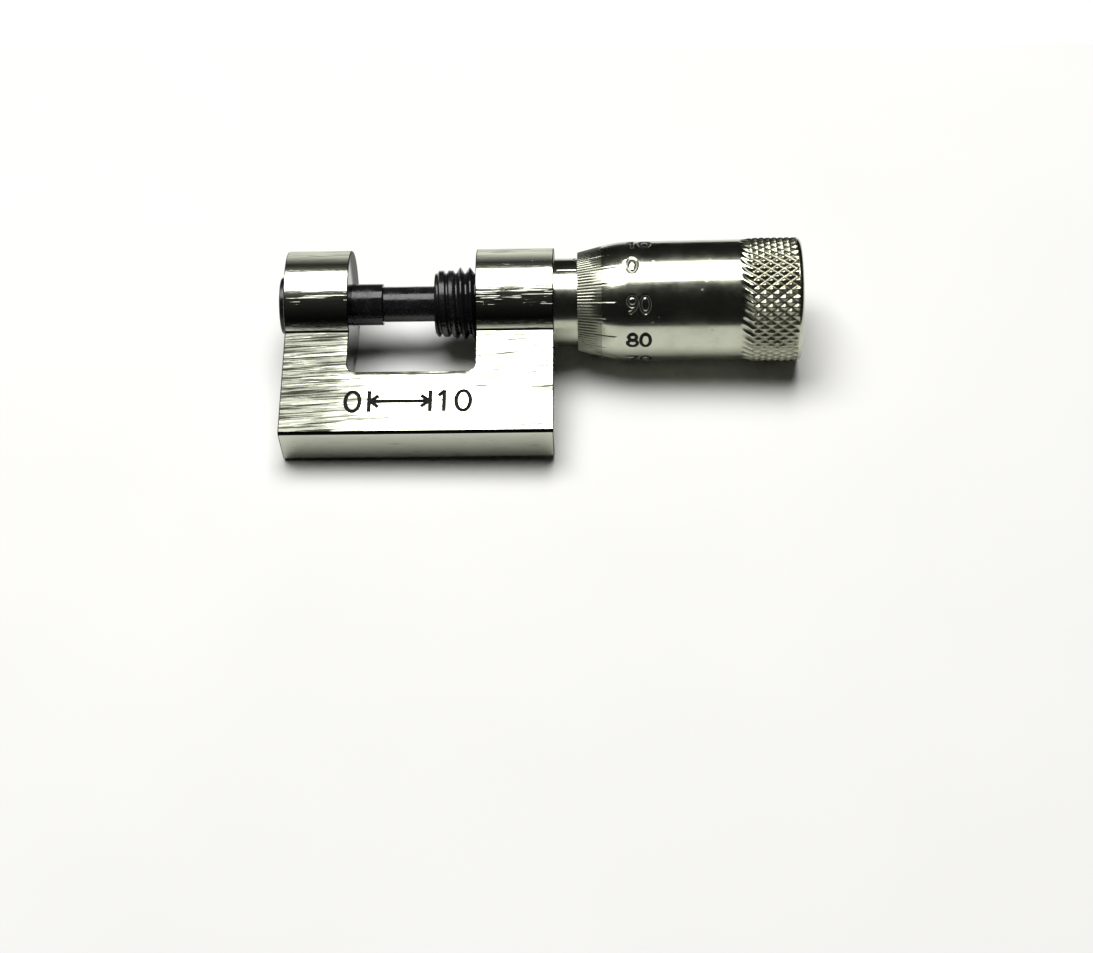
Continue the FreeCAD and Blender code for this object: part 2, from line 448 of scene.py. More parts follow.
@dataclass(frozen=True)
class BlackOxide:
    """Oiled black oxide over turned steel, rubbed a little brighter on high spots."""

    name: str = "black_oxide"
    colour: Colour = (0.011, 0.011, 0.0125, 1)
    rubbed: Colour = (0.07, 0.07, 0.075, 1)
    rings: Grain = Grain((14000, 500, 500), 4.0, 0.7)
    grit: Grain = Grain(7000.0)
    cloud: Grain = Grain(600.0)
    ring_depth: float = 0.003
    grit_depth: float = 0.002
    grit_level: Range = (0.52, 0.72)
    rub_level: Range = (0.4, 0.65)
    rub_least: float = 0.2
    oil_level: Range = (0.36, 0.66)
    rough: Range = (0.09, 0.34)

    def make(self) -> Material:
        """Build the material.

        Returns:
            The material.
        """
        s = Shader(self.name)
        grit, cloud = s.noise(self.grit), s.noise(self.cloud)
        worn = s.times(s.ramp(grit, *self.grit_level), s.ramp(cloud, *self.rub_level, self.rub_least))
        s.feed("Base Color", s.blend(worn, self.colour, self.rubbed))
        s.feed("Roughness", s.ramp(cloud, *self.oil_level, *self.rough))
        s.set(Metallic=0.3, Specular_IOR_Level=0.4)
        s.bump([(grit, self.grit_depth), (s.noise(self.rings), self.ring_depth)])
        return s.material


@dataclass(frozen=True)
class BareMetal:
    """Uncoated turned metal with faint rings."""

    name: str
    colour: Colour
    dark: Colour
    rings: Grain = Grain(9000.0)
    cloud: Grain = Grain(500.0)
    cloud_level: Range = (0.4, 0.75)
    cloud_share: float = 0.8
    ring_level: Range = (0.3, 0.7)
    ring_depth: float = 0.0035
    rough: Range = (0.182, 0.338)

    def make(self) -> Material:
        """Build the material.

        Returns:
            The material.
        """
        s = Shader(self.name)
        x, y, z = s.axes(s.place)
        radius = s.math("SQRT", s.plus(s.times(y, y), s.times(z, z)))
        rings = s.noise(self.rings, s.joined(x, radius))
        stained = s.ramp(s.noise(self.cloud), *self.cloud_level, 0.0, self.cloud_share)
        s.feed("Base Color", s.blend(stained, self.colour, self.dark))
        s.feed("Roughness", s.ramp(rings, *self.ring_level, *self.rough))
        s.set(Metallic=1.0)
        s.bump([(rings, self.ring_depth)])
        return s.material


@dataclass(frozen=True)
class GroovePaint:
    """Matt black filler, dusty, in cut marks."""

    name: str = "groove_paint"
    dusty: Colour = (0.09, 0.09, 0.085, 1)
    dust: Grain = Grain(6000.0)
    dust_level: Range = (0.45, 0.8)
    dust_share: float = 0.5
    dust_depth: float = 0.006
    rough_level: Range = (0.3, 0.7)
    rough: Range = (0.4, 0.6)

    def make(self) -> Material:
        """Build the material.

        Returns:
            The material.
        """
        s = Shader(self.name)
        dust = s.noise(self.dust)
        dusted = s.ramp(dust, *self.dust_level, 0.0, self.dust_share)
        s.feed("Base Color", s.blend(dusted, FILLER, self.dusty))
        s.feed("Roughness", s.ramp(dust, *self.rough_level, *self.rough))
        s.bump([(dust, self.dust_depth)])
        return s.material


@dataclass(frozen=True)
class PaleTable:
    """The matt white surface that the micrometer lies on."""

    name: str = "pale_table"
    dim: Colour = (0.78, 0.78, 0.775, 1)
    bright: Colour = (0.80, 0.80, 0.795, 1)
    mottle: Grain = Grain(30.0, 2.0)
    mottle_level: Range = (0.3, 0.7)

    def make(self) -> Material:
        """Build the material.

        Returns:
            The material.
        """
        s = Shader(self.name)
        s.feed("Base Color", s.blend(s.ramp(s.noise(self.mottle), *self.mottle_level), self.dim, self.bright))
        s.set(Roughness=0.9, Specular_IOR_Level=0.1)
        return s.material


# ---- mesh building -----------------------------------------------------------------------------
def placed(name: str, mesh: bpy.types.Mesh) -> Piece:
    """Put a mesh into the scene as an object at the origin.

    Args:
        name: Name of the object.
        mesh: Its mesh.

    Returns:
        The object.
    """
    mesh.name = name
    made = bpy.data.objects.new(name, mesh)
    bpy.context.scene.collection.objects.link(made)
    return made


def meshed(name: str, points: Sequence[Sequence[float]], faces: Sequence[Sequence[int]],
           materials: Iterable[Material] = ()) -> Piece:
    """Build an object from points and faces.

    Args:
        name: Name of the object.
        points: Its points, in millimetres.
        faces: The numbers of each face's points.
        materials: Its materials.

    Returns:
        The object.
    """
    mesh = bpy.data.meshes.new(name)
    mesh.from_pydata((np.asarray(points) * MM).tolist(), [], faces)
    for material in materials:
        mesh.materials.append(material)
    return placed(name, mesh)


def settled(piece: Piece, name: str, spent: Sequence[Piece] = ()) -> Piece:
    """Turn a piece's modifiers into plain mesh.

    Args:
        piece: The piece, which is removed.
        name: Name of the object that takes its place.
        spent: Cutters to remove with it.

    Returns:
        The new object.
    """
    graph = bpy.context.evaluated_depsgraph_get()
    mesh = bpy.data.meshes.new_from_object(piece.evaluated_get(graph))
    for old in (piece, *spent):
        bpy.data.objects.remove(old)
    return placed(name, mesh)


def smooth(made: Piece, angle: float = 32.0) -> None:
    """Shade a piece smooth, with creases where faces meet at more than an angle."""
    made.data.polygons.foreach_set("use_smooth", [True] * len(made.data.polygons))
    made.data.set_sharp_from_angle(angle=math.radians(angle))


def outward(made: Piece) -> Piece:
    """Turn all the faces of a closed piece outwards.

    Args:
        made: The piece.

    Returns:
        The same piece.
    """
    work = bmesh.new()
    work.from_mesh(made.data)
    bmesh.ops.recalc_face_normals(work, faces=work.faces)
    work.to_mesh(made.data)
    work.free()
    return made


def drawn_out(name: str, outline: Sequence[Point], start: float, end: float, run: Run) -> Piece:
    """Draw an outline out into a solid.

    Args:
        name: Name of the object.
        outline: (y, z) corners for a solid along X, or (x, y) corners for one along Z.
        start: Where the solid begins on its axis.
        end: Where it ends.
        run: Its axis.

    Returns:
        The solid.
    """
    count = len(outline)
    points = [(w, u, v) if run is Run.X else (u, v, w) for w in (start, end) for u, v in outline]
    sides = [(i, (i + 1) % count, count + (i + 1) % count, count + i) for i in range(count)]
    ends = [tuple(range(count))[::-1], tuple(range(count, 2 * count))]
    return outward(meshed(name, points, sides + ends))


def eased(points: Sequence[Point], radius: float, steps: int = 3) -> list[Point]:
    """Round the corners of an open profile.

    Args:
        points: Corners as (x, radius) pairs.
        radius: Radius of the rounding, made smaller where the sides are short.
        steps: Number of short sides in each rounding.

    Returns:
        The rounded profile.
    """
    rounded = [points[0]]
    for before, here, after in zip(points, points[1:], points[2:]):
        corner = Vector(here)
        back, ahead = Vector(before) - corner, Vector(after) - corner
        turn = math.pi - back.angle(ahead)
        if turn < LEAST_TURN:
            rounded.append(here)
            continue
        reach = min(radius * math.tan(turn / 2), LONGEST_EASE * back.length, LONGEST_EASE * ahead.length)
        start, end = corner + back.normalized() * reach, corner + ahead.normalized() * reach
        rounded += curved(start, corner, end, steps)
    return [*rounded, points[-1]]


def curved(start: Vector, pull: Vector, end: Vector, steps: int) -> list[Point]:
    """Give points along a curve that leaves its start towards a pull and comes to its end from there.

    Args:
        start: First point.
        pull: Point that draws the curve.
        end: Last point.
        steps: Number of short sides.

    Returns:
        The points, both ends among them.
    """
    shares = [k / steps for k in range(steps + 1)]
    spots = [start * (1 - t) ** 2 + pull * 2 * t * (1 - t) + end * t ** 2 for t in shares]
    return [(spot.x, spot.y) for spot in spots]


def around(count: int) -> np.ndarray:
    """Give evenly spaced angles in radians."""
    return np.arange(count) * TAU / count


class Turning:
    """A mesh turned about the X axis from a profile, closed all round."""

    def __init__(self, profile: Sequence[Point], turns: np.ndarray, edge: Edge = Edge.CLOSED) -> None:
        """Lay out the rings.

        Args:
            profile: (x, radius) pairs, with the solid's inside on the right of the way they run.
            turns: Angles of the points of each ring, in radians.
            edge: CLOSED for a tube, OPEN for a profile that starts and ends on the axis.
        """
        self.turns = turns
        self.edge = edge
        self.poles = [(profile[0][0], 0, 0), (profile[-1][0], 0, 0)]
        rings = np.array(profile if edge is Edge.CLOSED else profile[1:-1])
        self.x, self.r = (np.repeat(rings[:, [k]], len(turns), axis=1) for k in (0, 1))
        self.marks: dict[str, np.ndarray] = {}

    def carve(self, name: str, amount: np.ndarray, depth: float) -> None:
        """Cut into the surface.

        Args:
            name: Name of the attribute that keeps the cut.
            amount: 0 to 1 for each point.
            depth: Depth of the cut where amount is 1.
        """
        self.r = self.r - amount * depth
        kept = self.marks.get(name)
        self.marks[name] = amount if kept is None else np.maximum(kept, amount)

    def lift(self, angle: float) -> np.ndarray:
        """Give how far each ring angle lies above an angle in degrees, as radians from -pi to pi."""
        return (math.radians(angle) - self.turns + math.pi) % TAU - math.pi

    def make(self, name: str, materials: Sequence[Material],
             zone: Callable[[float, float], int] | None = None) -> Piece:
        """Build the mesh object.

        Args:
            name: Name of the object.
            materials: Its materials.
            zone: Gives the material's number from a face's mean x and radius. None is all the first.

        Returns:
            The new object.
        """
        rows, cols = self.x.shape
        spots = np.stack([self.x, self.r * np.cos(self.turns), self.r * np.sin(self.turns)], axis=2)
        points = spots.reshape(-1, 3)
        index = np.arange(rows * cols).reshape(rows, cols)
        shut = self.edge is Edge.CLOSED
        below = index if shut else index[:-1]
        above = np.roll(index, -1, axis=0) if shut else index[1:]
        quads = np.stack([below, np.roll(below, -1, axis=1), np.roll(above, -1, axis=1), above], axis=2)
        faces = quads.reshape(-1, 4).tolist()
        if not shut:
            points = np.vstack([points, self.poles])
            first, last = rows * cols, rows * cols + 1
            faces += [(first, index[0, (j + 1) % cols], index[0, j]) for j in range(cols)]
            faces += [(last, index[-1, j], index[-1, (j + 1) % cols]) for j in range(cols)]
        made = meshed(name, points, faces, materials)
        for key, amount in self.marks.items():
            values = np.zeros(len(points))
            values[: rows * cols] = amount.ravel()
            made.data.attributes.new(key, "FLOAT", "POINT").data.foreach_set("value", values)
        for polygon in made.data.polygons if zone else ():
            c = polygon.center / MM
            polygon.material_index = zone(c.x, math.hypot(c.y, c.z))
        smooth(made)
        return made


def keep(piece: Piece, body: Body, slot: Slot, nodes: Sequence[str] = ()) -> None:
    """Hand a finished piece to the frame and report it.

    Args:
        piece: The piece, in place.
        body: Body that it moves with.
        slot: Material slot of the record that the piece belongs with; not used.
        nodes: CAD nodes that it stands for.
    """
    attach(piece, body.value)
    if nodes:
        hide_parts(*nodes)
    LOG.info("%s: %d faces on %s", piece.name, len(piece.data.polygons), body.value)


# ---- geometry node recipes ---------------------------------------------------------------------
class Recipe(NodeWriter):
    """A Geometry Nodes tree with named inputs, written as short field expressions."""

    def __init__(self, name: str, inputs: dict[str, float | int]) -> None:
        """Start the tree.

        Args:
            name: Name of the tree.
            inputs: Named sizes. A whole number makes an integer socket, any other a float socket.
        """
        super().__init__(bpy.data.node_groups.new(name, "GeometryNodeTree"))
        self.values = dict(inputs)
        face = self.tree.interface
        face.new_socket("Geometry", in_out="INPUT", socket_type="NodeSocketGeometry")
        face.new_socket("Geometry", in_out="OUTPUT", socket_type="NodeSocketGeometry")
        for key, value in inputs.items():
            kind = "NodeSocketInt" if isinstance(value, int) else "NodeSocketFloat"
            face.new_socket(key, in_out="INPUT", socket_type=kind)
        face.new_socket("Material", in_out="INPUT", socket_type="NodeSocketMaterial")
        self.source = self.node("NodeGroupInput")
        self.sink = self.node("NodeGroupOutput")

    def input(self, *names: str) -> list[Socket]:
        """Give some of the tree's named inputs."""
        return [self.source.outputs[name] for name in names]

    def on_axis(self, along: object, radius: object, turn: object) -> Socket:
        """Give the place at a distance along X, a radius and an angle in radians, all in metres."""
        return self.joined(along, *(self.times(radius, self.math(way, turn)) for way in ("COSINE", "SINE")))

    def sheet(self, across: object, along: object) -> tuple[Socket, Socket, Socket]:
        """Add a unit grid.

        Args:
            across: Number of points along its first side.
            along: Number of points along its second side.

        Returns:
            Its mesh, and its two coordinates from 0 to 1.
        """
        sizes = {"Size X": 1.0, "Size Y": 1.0, "Vertices X": across, "Vertices Y": along}
        grid = self.node("GeometryNodeMeshGrid", sizes).outputs[0]
        x, y, _ = self.axes(self.node("GeometryNodeInputPosition").outputs[0])
        return grid, self.plus(x, 0.5), self.plus(y, 0.5)

    def finish(self, mesh: Socket, place: Socket, **marks: Socket) -> None:
        """Store the marks, move the sheet into place, weld it, and end the tree.

        Args:
            mesh: The sheet.
            place: Field of each point's place.
            **marks: Fields from 0 to 1 to keep as attributes of the same names.
        """
        for name, mark in marks.items():
            stored = {"Geometry": mesh, "Name": name, "Value": mark}
            mesh = self.node("GeometryNodeStoreNamedAttribute", stored, data_type="FLOAT",
                             domain="POINT").outputs[0]
        steps = {"GeometryNodeSetPosition": {"Position": place},
                 "GeometryNodeMergeByDistance": {"Distance": 0.0005 * MM},
                 "GeometryNodeRealizeInstances": {},
                 "GeometryNodeSetMaterial": {"Material": self.input("Material")[0]}}
        for kind, inputs in steps.items():
            mesh = self.node(kind, {"Geometry": mesh, **inputs}).outputs[0]
        self.tree.links.new(mesh, self.sink.inputs[0])

    def bake(self, name: str, material: Material, crease: float) -> Piece:
        """Run the tree and keep its result as a plain mesh.

        Args:
            name: Name of the new object.
            material: Material that the tree sets.
            crease: Angle past which faces meet in a crease.

        Returns:
            The object, with no modifier left on it.
        """
        holder = placed(name + "_recipe", bpy.data.meshes.new(name))
        modifier = holder.modifiers.new("recipe", "NODES")
        modifier.node_group = self.tree
        given = {**self.values, "Material": material}
        for item in self.tree.interface.items_tree:
            if item.in_out == "INPUT" and item.name in given:
                modifier[item.identifier] = given[item.name]
        holder.update_tag()
        made = settled(holder, name)
        smooth(made, crease)
        return made


# ---- cut numerals ------------------------------------------------------------------------------
def arc(centre: Point, size: Point, start: float, end: float, steps: int = 20) -> np.ndarray:
    """Give points along an arc of an ellipse, with angles in degrees."""
    t = np.radians(np.linspace(start, end, steps))
    return np.stack([centre[0] + size[0] * np.cos(t), centre[1] + size[1] * np.sin(t)], axis=1)


def digit(name: str) -> list[np.ndarray]:
    """Draw a numeral.

    Args:
        name: The numeral.

    Returns:
        Its strokes, in a box 0.66 wide and 1 high.
    """
    hook = arc((0.56, 0.36), (0.54, 0.64), 178, 100)
    bowl = arc((0.33, 0.30), (0.31, 0.30), 0, 360)
    belly = arc((0.31, 0.31), (0.33, 0.31), 130, -150)
    corner = np.array([0.66, 1.0])
    shapes = {
        "0": [arc((0.33, 0.5), (0.31, 0.5), 0, 360, 28)],
        "1": [np.array([(0.14, 0.78), (0.36, 1.0), (0.36, 0.0)])],
        "2": [np.vstack([arc((0.33, 0.70), (0.30, 0.30), 165, -35), [(0.02, 0.0), (0.64, 0.0)]])],
        "3": [np.vstack([arc((0.32, 0.75), (0.26, 0.25), 150, -90),
                         arc((0.32, 0.27), (0.31, 0.27), 90, -150)])],
        "4": [np.array([(0.48, 0.0), (0.48, 1.0), (0.02, 0.30), (0.66, 0.30)])],
        "5": [np.vstack([[(0.58, 1.0), (0.14, 1.0), (0.09, 0.56)], belly])],
        "6": [bowl, hook],
        "7": [np.array([(0.02, 1.0), (0.62, 1.0), (0.24, 0.0)])],
        "8": [arc((0.33, 0.76), (0.25, 0.24), 0, 360), arc((0.33, 0.27), (0.31, 0.27), 0, 360)],
        "9": [corner - bowl, corner - hook],
    }
    return shapes[name]


def lettered(text: str, height: float, start: Point, pitch: float = 1.0) -> list[np.ndarray]:
    """Set numerals in a row.

    Args:
        text: The numerals.
        height: Their height.
        start: Lower left corner of the first.
        pitch: Step from one to the next, as a share of the height.

    Returns:
        Their strokes.
    """
    steps = [np.array([i * pitch * height, 0.0]) for i in range(len(text))]
    return [stroke * height + np.array(start) + step
            for step, name in zip(steps, text) for stroke in digit(name)]


def legs(stroke: np.ndarray) -> list[np.ndarray]:
    """Part a stroke at its sharp corners.

    Args:
        stroke: Its points.

    Returns:
        The points of each part.
    """
    way = np.diff(stroke, axis=0)
    way = way / np.linalg.norm(way, axis=1, keepdims=True)
    corners = [i + 1 for i in range(len(way) - 1) if way[i] @ way[i + 1] < SHARP_COSINE]
    ends = [0, *corners, len(stroke) - 1]
    return [stroke[a: b + 1] for a, b in zip(ends[:-1], ends[1:])]


def engraved(u: np.ndarray, v: np.ndarray, strokes: Sequence[np.ndarray], width: float) -> np.ndarray:
    """Cut round-bottomed grooves along strokes.

    Args:
        u: First coordinate of each point of the surface.
        v: Second coordinate.
        strokes: The strokes.
        width: Width of the grooves.

    Returns:
        For each point, 1 in the middle of a groove and 0 from half its width on.
    """
    nearest = np.full(u.shape, np.inf)
    for stroke in strokes:
        for a, b in zip(stroke[:-1], stroke[1:]):
            d = b - a
            t = np.clip(((u - a[0]) * d[0] + (v - a[1]) * d[1]) / max(float(d @ d), 1e-12), 0, 1)
            nearest = np.minimum(nearest, np.hypot(u - a[0] - t * d[0], v - a[1] - t * d[1]))
    return 1 - np.clip(nearest / (width / 2), 0, 1) ** GROOVE_CURVE


# ---- frame -------------------------------------------------------------------------------------
@dataclass
class MicrometerFrame:
    """Two round lugs on a flat fin, one milled piece, with the range cut into the fin's face."""

    fin_thickness: float = 5.2
    fin_depth: float = 17.5
    throat_left: float = -3.2
    throat_right: float = 10.0
    throat_depth: float = 10.1
    throat_corner: float = 0.9
    long_bevel: float = 0.3
    edge_softness: float = 0.13
    edge_angle: float = 32.0
    rim_segments: int = 192
    bore_segments: int = 128
    shade_angle: float = 12.0
    anvil_bore: float = 2.18
    screw_bore: float = 3.85
    sleeve_bore: float = 4.6
    sleeve_seat: float = 13.1
    overrun: float = 1.0
    flat_cosine: float = 0.985
    upright_cosine: float = 0.05
    mark_width: float = 0.42
    mark_depth: float = 0.20
    mark_proud: float = 0.06
    mark_overrun: float = 0.1
    mark_height: float = 2.35
    mark_start: float = -3.2
    mark_floor: float = -14.9
    mark_length: float = 13.2
    arrow_inset: Point = (2.6, 4.6)
    arrow_barb: Point = (0.75, 0.62)
    bar_gap: float = 0.12
    ten_inset: float = 3.9
    ten_pitch: float = 0.86
    foot_inset: float = 0.4
    foot_lift: float = 0.02

    def __post_init__(self) -> None:
        """Read the lugs' radius and the fin's lean from the CAD frame."""
        low, high = span("frame")
        self.left, self.right, self.lug_radius = low.x, high.x, high.z
        half = self.fin_thickness / 2
        diagonal = math.hypot(self.fin_depth, half)
        self.lean = math.asin(self.lug_radius / diagonal) - math.atan2(half, self.fin_depth)

    def outline(self) -> list[Point]:
        """Draw the frame's section, a disc with the fin below it.

        Returns:
            Its (y, z) corners.
        """
        half, steps, b = self.fin_thickness / 2, self.rim_segments, self.long_bevel
        neck = math.asin(half / self.lug_radius)
        sweep = [math.pi - neck - (TAU - 2 * neck) * k / steps for k in range(steps + 1)]
        disc = [(self.lug_radius * math.cos(a), self.lug_radius * math.sin(a)) for a in sweep]
        foot = [(-self.fin_depth + b, -half), (-self.fin_depth, -half + b),
                (-self.fin_depth, half - b), (-self.fin_depth + b, half)]
        return disc + foot

    def throat(self) -> Piece:
        """Build the cutter for the throat.

        Returns:
            A block with two rounded corners.
        """
        r, low, top = self.throat_corner, -self.throat_depth, self.lug_radius + 2 * self.overrun
        corner = [k * math.pi / 16 for k in range(9)]
        left = [(self.throat_left + r - r * math.cos(a), low + r - r * math.sin(a)) for a in corner]
        right = [(self.throat_right - r + r * math.sin(a), low + r - r * math.cos(a)) for a in corner]
        outline = left + right + [(self.throat_right, top), (self.throat_left, top)]
        reach = self.fin_thickness + 3 * self.overrun
        return drawn_out("throat_cutter", outline, -reach, reach, Run.Z)

    def bore(self, radius: float, start: float, end: float) -> Piece:
        """Build the cutter for a round hole along X."""
        section = [(radius * math.cos(a), radius * math.sin(a)) for a in around(self.bore_segments)]
        return drawn_out("bore_cutter", section, start, end, Run.X)

    def marks(self) -> list[np.ndarray]:
        """Draw what is cut into the fin's face: a black-filled groove at each lug's foot, painted shade for
        the crease where lug and fin meet, then the range mark.

        The range mark is 0 and 10 at the ends of a two-headed arrow between two bars.

        Returns:
            The strokes as (x, y) points, with no sharp corners.
        """
        h, x0, y0 = self.mark_height, self.mark_start, self.mark_floor
        middle, mark_end = y0 + h / 2, x0 + self.mark_length
        left, right = x0 + self.arrow_inset[0], mark_end - self.arrow_inset[1]
        long, wide = self.arrow_barb
        shaft = np.array([(left, middle), (right, middle)])
        heads = [np.array([(tip + barb, middle + wide), (tip, middle), (tip + barb, middle - wide)])
                 for tip, barb in ((left, long), (right, -long))]
        bars = [np.array([(x, middle - h / 2), (x, middle + h / 2)])
                for x in (left - self.bar_gap, right + self.bar_gap)]
        # Painted shade: a black-filled groove along each lug's foot stands in for the dark crease between lug
        # and fin.
        corner = -math.sqrt(self.lug_radius ** 2 - (self.fin_thickness / 2) ** 2) + self.foot_lift
        crease_shade_grooves = [np.array([(a, corner), (b, corner)]) for a, b in (
            (self.left - self.overrun, self.throat_left + self.foot_inset),
            (self.throat_right - self.foot_inset, self.right + self.overrun))]
        zero = lettered("0", h, (x0, y0))
        ten = lettered("10", h, (mark_end - self.ten_inset, y0), self.ten_pitch)
        return [leg for stroke in crease_shade_grooves + zero + [shaft] + heads + bars + ten for leg in legs(stroke)]

    def stroke_solid(self, stroke: np.ndarray, first: int) -> tuple[list[tuple], list[tuple[int, ...]]]:
        """Build a V-shaped solid along one stroke on the fin's face.

        Args:
            stroke: Points of the stroke; the last equals the first where it is a loop.
            first: Number of its first point in the whole cutter.

        Returns:
            Its points and its faces.
        """
        half, depth, proud = self.mark_width / 2, self.mark_depth, self.mark_proud
        level = self.fin_thickness / 2
        top = level + proud
        closed = bool(np.allclose(stroke[0], stroke[-1]))
        path = stroke[:-1] if closed else stroke
        count = len(path)
        points = []
        for i, spot in enumerate(path):
            before = path[i - 1] if (i or closed) else spot
            after = path[(i + 1) % count] if (i < count - 1 or closed) else spot
            way = (after - before) / np.linalg.norm(after - before)
            side = np.array([-way[1], way[0]]) * half * (1 + proud / depth)
            past = 0.0 if closed or i not in (0, count - 1) else self.mark_overrun * (1 if i else -1)
            base = spot + way * past
            points += [(*(base + side), top), (*(base - side), top), (*base, level - depth)]
        links = range(count if closed else count - 1)
        faces = [(3 * i + a, 3 * i + b, 3 * ((i + 1) % count) + b, 3 * ((i + 1) % count) + a)
                 for i in links for a, b in ((0, 1), (1, 2), (2, 0))]
        if not closed:
            faces += [(0, 2, 1), (3 * count - 3, 3 * count - 2, 3 * count - 1)]
        return points, [tuple(first + i for i in face) for face in faces]

    def mark_cutter(self, paint: Material) -> Piece:
        """Build the cutter for all the marks.

        Args:
            paint: Material that it leaves in the cuts.

        Returns:
            The cutter.
        """
        points: list[tuple] = []
        faces: list[tuple[int, ...]] = []
        for stroke in self.marks():
            more, sides = self.stroke_solid(stroke, len(points))
            points += more
            faces += sides
        return outward(meshed("mark_cutter", points, faces, [paint]))

    def cut(self, blank: Piece, cutters: Sequence[Piece], crossing: bool = False) -> Piece:
        """Cut solids out of a blank, one after another, and remove the cutters.

        Args:
            blank: The piece.
            cutters: The solids.
            crossing: Whether a cutter's own parts cross each other.

        Returns:
            The cut piece.
        """
        for cutter in cutters:
            step = blank.modifiers.new("cut", "BOOLEAN")
            step.operation, step.solver, step.object = "DIFFERENCE", "EXACT", cutter
            step.material_mode, step.use_self = "TRANSFER", crossing
        return settled(blank, blank.name, cutters)

    def soften(self, blank: Piece) -> Piece:
        """Round all the sharp edges a little.

        Args:
            blank: The cut frame.

        Returns:
            The softened frame.
        """
        step = blank.modifiers.new("soften", "BEVEL")
        step.width, step.segments = self.edge_softness * MM, 2
        step.limit_method, step.angle_limit = "ANGLE", math.radians(self.edge_angle)
        return settled(blank, blank.name)

    def darken_edges(self, blank: Piece) -> None:
        """Give the second material, a near-black copy of the plate that paints shade on the softened edges,
        to the faces that lie along them.

        Args:
            blank: The frame before it is turned into its lean.
        """
        for face in blank.data.polygons:
            n, c = face.normal, face.center
            flat = max(abs(n.x), abs(n.y), abs(n.z)) > self.flat_cosine
            radial = abs(n.y * c.y + n.z * c.z) > self.flat_cosine * math.hypot(c.y, c.z)
            in_throat = self.throat_left * MM < c.x < self.throat_right * MM
            corner = in_throat and abs(n.z) < self.upright_cosine
            face.material_index = 0 if flat or radial or corner else 1

    def build(self, plate: Material, edges: Material, paint: Material) -> None:
        """Build the frame.

        Args:
            plate: Material of the metal.
            edges: Material of the softened edges, a near-black copy of the plate that paints their shade.
            paint: Material of the cut marks.
        """
        blank = drawn_out("frame_body", self.outline(), self.left, self.right, Run.X)
        blank = self.soften(self.cut(blank, [
            self.throat(),
            self.bore(self.anvil_bore, self.left - self.overrun, self.throat_left + self.overrun),
            self.bore(self.screw_bore, self.throat_right - self.overrun, self.sleeve_seat + self.overrun),
            self.bore(self.sleeve_bore, self.sleeve_seat, self.right + self.overrun)]))
        blank.data.materials.clear()
        for material in (plate, edges):
            blank.data.materials.append(material)
        self.darken_edges(blank)
        body = self.cut(blank, [self.mark_cutter(paint)], crossing=True)
        body.data.transform(Matrix.Rotation(self.lean, 4, "X"))
        smooth(body, self.shade_angle)
        keep(body, Body.FRAME, Slot.FRAME, ["frame"])


# ---- anvil and spindle -------------------------------------------------------------------------
@dataclass
class Anvil:
    """Headed black pin through the left lug."""

    softness: float = 0.12
    stem_radius: float = 2.18
    segments: int = 144

    def build(self, black: Material) -> None:
        """Build the pin.

        Args:
            black: Its material.
        """
        low, high = span("anvil")
        head, face, shoulder = low.x, high.x, span("frame")[0].x
        profile = eased([(head, 0), (head, high.z), (shoulder, high.z), (shoulder, self.stem_radius),
                         (face, self.stem_radius), (face, 0)], self.softness)
        pin = Turning(profile, around(self.segments), Edge.OPEN).make("anvil_pin", [black])
        keep(pin, Body.FRAME, Slot.BLACK, ["anvil"])


